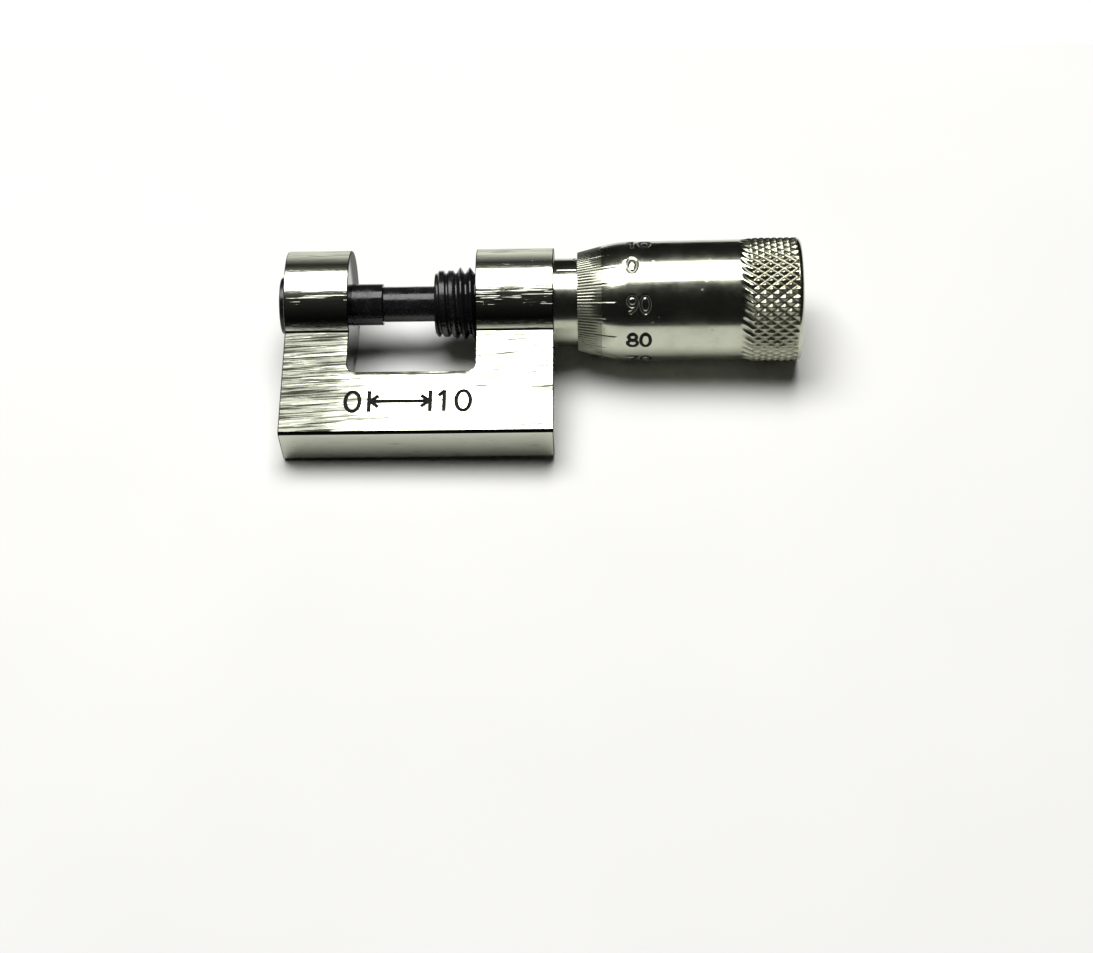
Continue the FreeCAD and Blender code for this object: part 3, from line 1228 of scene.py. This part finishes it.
@dataclass
class Spindle:
    """Black rod with a plain tip and a coarse screw thread."""

    tip_radius: float = 1.86
    root_radius: float = 3.2
    core_sink: float = 0.08
    screw_start: float = 5.55
    screw_end: float = 36.0
    pitch: float = 1.0
    run_out: float = 0.25
    lead_radius: float = 3.5
    lead_end: float = 7.45
    lead_rise: float = 0.45
    taper_start: float = 36.6
    neck_radius: float = 2.9
    end_radius: float = 2.2
    hole_radius: float = 1.0
    hole_depth: float = 4.6
    crest_share: float = 1 / 16
    foot_share: float = 7 / 16
    around_turn: int = 72
    across_turn: int = 17
    segments: int = 144
    softness: float = 0.14
    crease_angle: float = 28.0

    def rod(self, black: Material) -> Piece:
        """Build the rod without its thread ridge.

        Args:
            black: Its material.

        Returns:
            The rod.
        """
        low, high = span("spindle")
        end, floor, core = high.x, high.x - self.hole_depth, self.root_radius - self.core_sink
        profile = eased([(low.x, 0), (low.x, self.tip_radius), (self.screw_start, self.tip_radius),
                         (self.screw_start, core), (self.screw_end, core),
                         (self.screw_end, self.neck_radius), (self.taper_start, self.neck_radius),
                         (end, self.end_radius), (end, self.hole_radius),
                         (floor, self.hole_radius), (floor, 0)], self.softness)
        return Turning(profile, around(self.segments), Edge.OPEN).make("spindle_rod", [black])

    def thread(self, black: Material) -> Piece:
        """Build the right-hand thread as a sheet wound round the screw.

        Args:
            black: Its material.

        Returns:
            The thread.
        """
        crest_radius = span("spindle")[1].z
        turns = math.ceil((self.screw_end - self.screw_start) / self.pitch) + 1
        recipe = Recipe("screw_thread", {
            "Start": self.screw_start * MM, "End": self.screw_end * MM, "Pitch": self.pitch * MM,
            "Root Radius": self.root_radius * MM, "Crest Radius": crest_radius * MM,
            "Lead Radius": self.lead_radius * MM, "Lead End": self.lead_end * MM,
            "Lead Full": (self.lead_end + self.lead_rise) * MM, "Run Out": self.run_out * self.pitch * MM,
            "Crest Share": self.crest_share, "Foot Share": self.foot_share, "Turns": float(turns),
            "Points Along": turns * self.around_turn + 1, "Points Across": self.across_turn})
        start, end, pitch, run_out = recipe.input("Start", "End", "Pitch", "Run Out")
        root, crest, lead = recipe.input("Root Radius", "Crest Radius", "Lead Radius")
        sheet, t, q = recipe.sheet(*recipe.input("Points Along", "Points Across"))
        turn = recipe.times(t, *recipe.input("Turns"))
        along = recipe.plus(recipe.times(recipe.minus(recipe.plus(turn, q), 1.0), pitch), start)
        held = recipe.least(recipe.most(along, start), end)
        rise = recipe.ramp(recipe.away(q, 0.5), *recipe.input("Foot Share", "Crest Share"))
        full = recipe.plus(recipe.times(rise, recipe.minus(crest, root)), root)
        limit = recipe.ramp(held, *recipe.input("Lead End", "Lead Full"), lead, crest)
        begun = recipe.ramp(along, start, recipe.plus(start, run_out))
        ended = recipe.ramp(along, end, recipe.minus(end, run_out))
        height = recipe.times(recipe.minus(recipe.least(full, limit), root), begun, ended)
        place = recipe.on_axis(held, recipe.plus(root, height), recipe.times(turn, TAU))
        recipe.finish(sheet, place, groove=recipe.minus(1.0, rise))
        return recipe.bake("spindle_thread", black, self.crease_angle)

    def build(self, black: Material) -> None:
        """Build rod and thread.

        Args:
            black: Their material.
        """
        rod, thread = self.rod(black), self.thread(black)
        keep(rod, Body.SPINDLE, Slot.BLACK, ["spindle"])
        keep(thread, Body.SPINDLE, Slot.BLACK)


# ---- sleeve ------------------------------------------------------------------------------------
@dataclass
class Sleeve:
    """Plated barrel with the index line and the millimetre scale."""

    index_angle: float = 89.5
    index_start: float = 18.5
    zero_place: float = 20.56
    shoulder: float = 32.0
    seat_radius: float = 4.2
    bore_radius: float = 3.85
    line_width: float = 0.13
    line_depth: float = 0.05
    line_length: float = 1.0
    fifth_length: float = 1.6
    numeral_height: float = 1.3
    numeral_width: float = 0.19
    numeral_floor: float = 1.95
    numeral_pitch: float = 0.86
    digit_width: float = 0.66
    divisions: int = 10
    scale_half: float = 3.9
    fine_step: float = 0.05
    coarse_turns: int = 120
    index_extra: float = 0.5
    scale_margin: Range = (2.2, 1.0)

    def turns(self, radius: float) -> np.ndarray:
        """Space the ring angles, close together across the scale and wide elsewhere.

        Args:
            radius: The barrel's radius.

        Returns:
            The angles in radians.
        """
        half = math.degrees(self.scale_half / radius)
        fine = np.arange(-half, half, math.degrees(self.fine_step / radius))
        coarse = np.linspace(half, 360 - half, self.coarse_turns, endpoint=False)
        return np.radians(self.index_angle + np.concatenate([fine, coarse]))

    def strokes(self) -> list[np.ndarray]:
        """Draw the scale.

        Returns:
            Its strokes as (x, distance round the barrel above the index line).
        """
        index_end = self.zero_place + self.divisions + self.index_extra
        index = [np.array([(self.index_start, 0.0), (index_end, 0.0)])]
        places = [(self.zero_place + k, self.line_length if k % 5 else self.fifth_length)
                  for k in range(self.divisions + 1)]
        return index + [np.array([(x, 0.0), (x, reach)]) for x, reach in places]

    def numerals(self) -> list[np.ndarray]:
        """Draw 0, 5 and 10, each in the middle above its line.

        Returns:
            Their strokes.
        """
        made = []
        for value in (0, 5, 10):
            text = str(value)
            width = self.numeral_height * (self.digit_width + self.numeral_pitch * (len(text) - 1))
            start = (self.zero_place + value - width / 2, self.numeral_floor)
            made += lettered(text, self.numeral_height, start, self.numeral_pitch)
        return made

    def build(self, plate: Material) -> None:
        """Build the barrel.

        Args:
            plate: Its material.
        """
        low, high = span("sleeve")
        radius = high.z
        before, after = self.scale_margin
        rows = np.arange(self.zero_place - before, self.zero_place + self.divisions + after, self.fine_step)
        outside = [(low.x, radius)] + [(x, radius) for x in rows] + [(self.shoulder, radius)]
        inside = [(self.shoulder, self.seat_radius), (high.x, self.seat_radius),
                  (high.x, self.bore_radius), (low.x, self.bore_radius)]
        turning = Turning(outside + inside, self.turns(radius))
        top = turning.r > radius - 1e-6
        v = np.broadcast_to(turning.lift(self.index_angle) * radius, turning.x.shape)
        lines = engraved(turning.x, v, self.strokes(), self.line_width)
        digits = engraved(turning.x, v, self.numerals(), self.numeral_width)
        turning.carve("paint", np.maximum(lines, digits) * top, self.line_depth)
        keep(turning.make("sleeve_barrel", [plate]), Body.FRAME, Slot.SLEEVE, ["sleeve"])


# ---- thimble -----------------------------------------------------------------------------------
@dataclass
class Thimble:
    """Bevelled and graduated front, polished body, diamond knurl, and a hollow back for the screw."""

    zero_angle: float = 99.3
    divisions: int = 100
    points_per_division: int = 8
    lip_radius: float = 5.2
    lip_edge: float = 0.06
    bevel_end: float = 23.07
    bevel_radius: float = 5.85
    crown: Point = (24.3, 6.12)
    body_start: float = 25.7
    body_radius: float = 6.28
    body_end_radius: float = 6.36
    row_step: float = 0.05
    row_length: float = 3.1
    outer_margin: float = 0.3
    inner_margin: float = 0.2
    satin_margin: float = 0.02
    end_rounding: float = 0.49
    bore_radius: float = 4.75
    bore_depth: float = 16.04
    bore_edge: float = 0.08
    recess_radius: float = 3.6
    recess_edge: float = 0.12
    neck_radius: float = 2.22
    taper_radius: float = 2.92
    line_width: float = 0.24
    line_depth: float = 0.06
    line_paint: float = 0.62
    line_fade: float = 0.12
    fifth_extra: float = 0.5
    tenth_extra: float = 1.75
    numeral_start: float = 25.72
    numeral_height: float = 1.68
    numeral_squeeze: float = 0.95
    numeral_pitch: float = 0.84
    numeral_width: float = 0.47
    numeral_depth: float = 0.085
    numeral_zone: Range = (-0.3, 3.2)
    numeral_reach: float = 1.57
    stamp_slips: tuple[float, ...] = (-0.7, 0.6, 1.6, -0.4, 1.1, 2.0, 0.3, 2.4, 4.0, 2.8)
    stamp_paint: tuple[float, ...] = (0.5, 0.9, 1.0, 0.7, 1.0, 0.6, 1.0, 0.9, 1.0, 0.62)
    knurl_seam: float = 37.0
    knurl_start: float = 38.1
    knurl_end: float = 43.46
    knurl_seat: float = 0.45
    knurl_wall: float = 0.5
    knurl_around: int = 43
    knurl_pitch: float = 1.33
    knurl_fine: int = 12
    knurl_depth: float = 0.28
    knurl_flat: float = 0.16
    # How far past the knurl's start each family of grooves begins, and how far on it is full.
    knurl_late: Range = (0.1, -0.6)
    knurl_growth: float = 0.8
    knurl_tail: float = 0.25
    knurl_tail_share: float = 0.25
    knurl_uneven: Grain = Grain(420.0, 1.0)
    uneven_level: Range = (0.3, 0.7)
    uneven_least: float = 0.62
    knurl_seed: float = 7.0
    knurl_crease: float = 60.0
    knurl_rise: Range = (-0.2, 0.9)
    grip_rise: Range = (-0.5, 0.8)

    def __post_init__(self) -> None:
        """Work out the body's slope and its radius at the knurl's seam."""
        self.slope = (self.body_end_radius - self.body_radius) / (self.knurl_start - self.body_start)
        self.seam_radius = self.body_radius + self.slope * (self.knurl_seam - self.body_start)

    def turns(self) -> np.ndarray:
        """Space the ring angles, with points on both sides and in the middle of each graduation line.

        Returns:
            The angles in radians.
        """
        step = TAU / self.divisions
        half = self.line_width / 2 / self.bevel_radius
        one = np.concatenate([[0.0], np.linspace(half, step - half, self.points_per_division - 1)])
        zero = math.radians(self.zero_angle)
        return np.concatenate([zero + k * step + one for k in range(self.divisions)])

    def front(self) -> list[Point]:
        """Draw the profile of the bevel and of the crown behind it.

        Returns:
            Its points.
        """
        start, rise = span("thimble")[0].x, self.bevel_radius - self.lip_radius
        bevel = [(start + (self.bevel_end - start) * k / 4, self.lip_radius + rise * k / 4) for k in range(5)]
        a, b, c = (Vector(spot) for spot in (
            (self.bevel_end, self.bevel_radius), self.crown, (self.body_start, self.body_radius)))
        return bevel + curved(a, 2 * b - (a + c) / 2, c, 10)[1:]

    def profile(self) -> list[Point]:
        """Draw the whole closed profile, with the seat for the knurl left low.

        Returns:
            Its points.
        """
        low, high = span("thimble")
        end, top, r, sunk = high.x, high.z, self.end_rounding, self.seam_radius - self.knurl_seat
        rows = np.arange(self.body_start + self.row_step, self.numeral_start + self.row_length, self.row_step)
        body = [(x, self.body_radius + self.slope * (x - self.body_start)) for x in rows]
        back = [(self.knurl_seam, self.seam_radius), (self.knurl_seam, sunk), (self.knurl_end, sunk),
                (self.knurl_end, top)]
        corner = [(end - r + r * math.sin(a), top - r + r * math.cos(a))
                  for a in np.linspace(0, math.pi / 2, 9)]
        floor, web = span("thimble_washer")[0].x, low.x + self.bore_depth
        inside = [(end, self.recess_radius + self.recess_edge), (end - self.recess_edge, self.recess_radius),
                  (floor, self.recess_radius), (floor, self.neck_radius), (web, self.taper_radius),
                  (web, self.bore_radius), (low.x + self.bore_edge, self.bore_radius),
                  (low.x, self.bore_radius + self.bore_edge)]
        return [(low.x, self.lip_radius - self.lip_edge)] + self.front() + body + back + corner + inside

    def graduate(self, turning: Turning) -> None:
        """Cut the graduation lines, each a V as wide as the points beside its middle.

        Each fifth line is longer, and each tenth is longest.

        Args:
            turning: The thimble.
        """
        slot = np.arange(turning.turns.size) % self.points_per_division
        number = -(np.arange(turning.turns.size) // self.points_per_division) % self.divisions
        extra = np.where(number % 10 == 0, self.tenth_extra, np.where(number % 5 == 0, self.fifth_extra, 0.0))
        reach = np.where(slot == 0, self.bevel_end + extra, -np.inf)
        outer = turning.r > self.bore_radius + self.outer_margin
        fade = np.clip((reach[None, :] - turning.x) / self.line_fade, 0, 1) * outer
        turning.carve("paint", fade * self.line_paint, self.line_depth / self.line_paint)

    def number(self, turning: Turning) -> None:
        """Cut the numerals 0 to 90, one each tenth line, that read with the spindle to the left.

        Args:
            turning: The thimble.
        """
        amount, paint = np.zeros(turning.x.shape), np.zeros(turning.x.shape)
        here = turning.x[:, 0]
        first, last = (self.numeral_start + reach for reach in self.numeral_zone)
        outer = turning.r[:, 0] > self.body_radius - self.outer_margin
        rows = np.where((here > first) & (here < last) & outer)[0]
        for k, (slip, inked) in enumerate(zip(self.stamp_slips, self.stamp_paint)):
            lift = turning.lift(self.zero_angle - 36 * k + slip)
            cols = np.where(np.abs(lift) * self.body_radius < self.numeral_reach)[0]
            corner = (0, -self.numeral_height / 2)
            row = lettered(str(10 * k), self.numeral_height, corner, self.numeral_pitch)
            strokes = [stroke * (self.numeral_squeeze, 1) + (self.numeral_start, 0) for stroke in row]
            u, v = np.meshgrid(here[rows], lift[cols] * self.body_radius, indexing="ij")
            cut = engraved(u, v, strokes, self.numeral_width)
            amount[np.ix_(rows, cols)] += cut
            paint[np.ix_(rows, cols)] += cut * inked
        turning.carve("stamp", amount, self.numeral_depth)
        turning.carve("paint", paint, 0.0)

    def shell(self, polished: Material, satin: Material) -> Piece:
        """Build the thimble without its knurl.

        Args:
            polished: Material of the body.
            satin: Material of the bevel and the inside.

        Returns:
            The shell.
        """
        turning = Turning(self.profile(), self.turns())
        self.graduate(turning)
        self.number(turning)
        bevel, bore = self.bevel_end + self.satin_margin, self.bore_radius + self.inner_margin

        def zone(x: float, radius: float) -> int:
            """Give 1 on the satin bevel and inside, 0 on the polished outside."""
            return int(x < bevel or radius < bore)

        return turning.make("thimble_shell", [polished, satin], zone)

    def knurl(self, material: Material) -> Piece:
        """Build the knurled band as a sheet wrapped round the thimble and cut by two groove families.

        Args:
            material: Its material.

        Returns:
            The band.
        """
        rows = round((self.knurl_end - self.knurl_seam) / self.knurl_pitch * self.knurl_fine)
        recipe = Recipe("diamond_knurl", {
            "Seam": self.knurl_seam * MM, "Start": self.knurl_start * MM, "End": self.knurl_end * MM,
            "Seam Radius": self.seam_radius * MM, "Radius": span("thimble")[1].z * MM,
            "Inner Radius": (self.seam_radius - self.knurl_wall) * MM,
            "Pitch": self.knurl_pitch * MM, "Depth": self.knurl_depth * MM,
            "Around": float(self.knurl_around), "Flat": self.knurl_flat,
            "Growth": self.knurl_growth * MM, "Tail": self.knurl_tail * MM,
            "Rows": rows + 3, "Columns": self.knurl_around * self.knurl_fine + 1, "Seed": self.knurl_seed})
        seam, start, end, pitch = recipe.input("Seam", "Start", "End", "Pitch")
        seam_radius, top, inner_radius, depth = recipe.input("Seam Radius", "Radius", "Inner Radius", "Depth")
        flat, growth, tail, count = recipe.input("Flat", "Growth", "Tail", "Rows")
        sheet, s, t = recipe.sheet(*recipe.input("Rows", "Columns"))
        last_row, angle = recipe.minus(count, 1.0), recipe.times(t, TAU)
        share = recipe.ramp(recipe.times(s, last_row), 1.0, recipe.minus(last_row, 1.0))
        along = recipe.plus(recipe.times(share, recipe.minus(end, seam)), seam)
        turned, lean = recipe.times(t, *recipe.input("Around")), recipe.math("DIVIDE", along, pitch)

        def from_start(reach: Range) -> list[Socket]:
            """Give two places that lie at distances from the knurl's start."""
            return [recipe.plus(start, distance) for distance in metres(reach)]

        grooves = []
        for way, begin in zip((1.0, -1.0), from_start(self.knurl_late)):
            phase = recipe.math("FRACT", recipe.plus(recipe.times(lean, way), turned))
            ridge = recipe.times(recipe.away(phase, 0.5), 2.0)
            grown = recipe.ramp(along, begin, recipe.plus(begin, growth))
            grooves.append(recipe.times(recipe.ramp(ridge, flat, 1.0), grown))
        ended = recipe.ramp(along, end, recipe.minus(end, tail), self.knurl_tail_share)
        groove = recipe.times(recipe.most(*grooves), ended)
        jitter = recipe.node("ShaderNodeTexNoise", {
            "Vector": recipe.on_axis(along, top, angle), "W": recipe.input("Seed")[0],
            "Scale": self.knurl_uneven.scale, "Detail": self.knurl_uneven.detail},
            noise_dimensions="4D").outputs[0]
        uneven = recipe.ramp(jitter, *self.uneven_level, self.uneven_least)
        raised = recipe.ramp(along, *from_start(self.knurl_rise), seam_radius, top)
        outer = recipe.minus(raised, recipe.times(groove, uneven, depth))
        is_inner = recipe.math("GREATER_THAN", recipe.away(s, 0.5),
                               recipe.minus(0.5, recipe.math("DIVIDE", 0.5, last_row)))
        radius = recipe.minus(outer, recipe.times(is_inner, recipe.minus(outer, inner_radius)))
        grip = recipe.ramp(along, *from_start(self.grip_rise))
        recipe.finish(sheet, recipe.on_axis(along, radius, angle), groove=groove, grip=grip)
        return recipe.bake("thimble_knurl", material, self.knurl_crease)

    def build(self, polished: Material, satin: Material) -> None:
        """Build shell and knurl.

        Args:
            polished: Material of the body and the grip.
            satin: Material of the bevel and the inside.
        """
        shell, grip = self.shell(polished, satin), self.knurl(polished)
        keep(shell, Body.SPINDLE, Slot.THIMBLE, ["thimble"])
        keep(grip, Body.SPINDLE, Slot.THIMBLE)


# ---- end screw, washer, adjusting nut ----------------------------------------------------------
@dataclass
class EndFastening:
    """The slotted screw in the thimble's back and the washer under it, and the hidden adjusting nut."""

    steel_nodes: tuple[str, ...] = ("thimble_screw", "thimble_washer")
    bronze_nodes: tuple[str, ...] = ("adjusting_nut",)

    def build(self, steel: Material, bronze: Material) -> None:
        """Give the CAD pieces, whose shapes are right, their finishes.

        Args:
            steel: Material of screw and washer.
            bronze: Material of the nut.
        """
        for nodes, material in ((self.steel_nodes, steel), (self.bronze_nodes, bronze)):
            for node in nodes:
                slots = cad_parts[node].data.materials
                slots.clear()
                slots.append(material)
                LOG.info("%s: finish %s", node, material.name)


# ---- studio ------------------------------------------------------------------------------------
@dataclass
class Studio:
    """Pale table, one large soft lamp, a dark room, and the camera."""

    aim: tuple[float, float, float] = (17.23, -18.53, -6.65)
    distance: float = 231.8
    elevation: float = 49.49
    azimuth: float = 2.55
    roll: float = -2.57
    lens: float = 74.36
    sensor: float = 36.0
    clip: Range = (5.0, 20000.0)
    table_reach: tuple[float, float, float, float] = (-260.0, 300.0, -104.0, 50.0)
    knurl_inset: float = 0.6
    lamp_distance: float = 600.0
    lamp_lean: float = 12.5
    lamp_side: float = -5.0
    lamp_size: Range = (500.0, 380.0)
    lamp_power: float = 5.3
    lamp_colour: tuple[float, float, float] = (1.0, 0.995, 0.975)
    room_dark: float = 0.012
    room_pale: float = 1.0

    def table(self, material: Material) -> None:
        """Lay the table under the lug and the knurl, which are not quite the same radius.

        Args:
            material: Its material.
        """
        lug_low, lug_high = span("frame")
        knurl = span("thimble")[1]
        rise = (knurl.z - lug_high.z) / (knurl.x - self.knurl_inset - lug_low.x)
        west, east, south, north = self.table_reach
        corners = [(x, y, -lug_high.z - rise * (x - lug_low.x))
                   for x, y in ((west, south), (east, south), (east, north), (west, north))]
        top = meshed("table", corners, [(0, 1, 2, 3)], [material])

    def lamp(self) -> None:
        """Hang the lamp above and a little behind the micrometer."""
        data = bpy.data.lights.new("soft_lamp", "AREA")
        data.shape = "RECTANGLE"
        data.size, data.size_y = metres(self.lamp_size)
        data.energy, data.color = self.lamp_power, self.lamp_colour
        lamp = bpy.data.objects.new("soft_lamp", data)
        lean, side = math.radians(self.lamp_lean), math.radians(self.lamp_side)
        way = Vector((math.sin(side), math.sin(lean) * math.cos(side), math.cos(lean) * math.cos(side)))
        lamp.location = Vector(self.aim) * MM + way * self.lamp_distance * MM
        lamp.rotation_euler = (-way).to_track_quat("-Z", "Y").to_euler()
        bpy.context.scene.collection.objects.link(lamp)

    def room(self) -> None:
        """Make the room dark for reflections and pale where the camera sees past the table."""
        world = bpy.data.worlds.new("room")
        bpy.context.scene.world = world
        world.use_nodes = True
        writer = NodeWriter(world.node_tree)
        writer.tree.nodes.clear()
        dark, pale = (writer.node("ShaderNodeBackground", {"Color": (level, level, level, 1)}).outputs[0]
                      for level in (self.room_dark, self.room_pale))
        seen = writer.node("ShaderNodeLightPath").outputs["Is Camera Ray"]
        mix = writer.node("ShaderNodeMixShader", {0: seen, 1: dark, 2: pale}).outputs[0]
        writer.node("ShaderNodeOutputWorld", {"Surface": mix})

    def camera(self) -> None:
        """Set up the camera."""
        e, a = math.radians(self.elevation), math.radians(self.azimuth)
        back = Vector((math.sin(a) * math.cos(e), -math.cos(a) * math.cos(e), math.sin(e)))
        data = bpy.data.cameras.new("camera")
        data.lens, data.sensor_width = self.lens, self.sensor
        data.clip_start, data.clip_end = metres(self.clip)
        camera = bpy.data.objects.new("camera", data)
        turn = (-back).to_track_quat("-Z", "Y").to_matrix()
        turn = turn @ Matrix.Rotation(math.radians(self.roll), 3, "Z")
        place = Matrix.Translation((Vector(self.aim) + back * self.distance) * MM)
        camera.matrix_world = place @ turn.to_4x4()
        bpy.context.scene.collection.objects.link(camera)
        bpy.context.scene.camera = camera

    def build(self, table_top: Material) -> None:
        """Set the whole stage.

        Args:
            table_top: Material of the table.
        """
        self.table(table_top)
        self.lamp()
        self.room()
        self.camera()
        bpy.context.scene.view_settings.view_transform = "Standard"


def main() -> None:
    """Build the micrometer piece by piece, then the studio."""
    logging.basicConfig(level=logging.INFO, format="%(name)s %(message)s")
    black = BlackOxide().make()
    polished = TurnedPlate("polished_plate").make()
    satin = TurnedPlate("satin_plate", (0.30, 0.31, 0.25, 1), rough=0.25, ring_depth=0.0016).make()
    steel = BareMetal("turned_steel", (0.50, 0.49, 0.46, 1), (0.36, 0.35, 0.33, 1)).make()
    bronze = BareMetal("turned_bronze", (0.62, 0.42, 0.20, 1), (0.45, 0.29, 0.13, 1)).make()
    # A near-black copy of the nickel that paints shade on the frame's softened edges.
    edges = NickelPlate("nickel_edge_shade", (0.018, 0.019, 0.016, 1), dull=(0.010, 0.010, 0.009, 1), rough=0.22)
    MicrometerFrame().build(NickelPlate().make(), edges.make(), GroovePaint().make())
    Anvil().build(black)
    Spindle().build(black)
    Sleeve().build(polished)
    Thimble().build(polished, satin)
    EndFastening().build(steel, bronze)
    Studio().build(PaleTable().make())


if __name__ == "__main__":
    main()
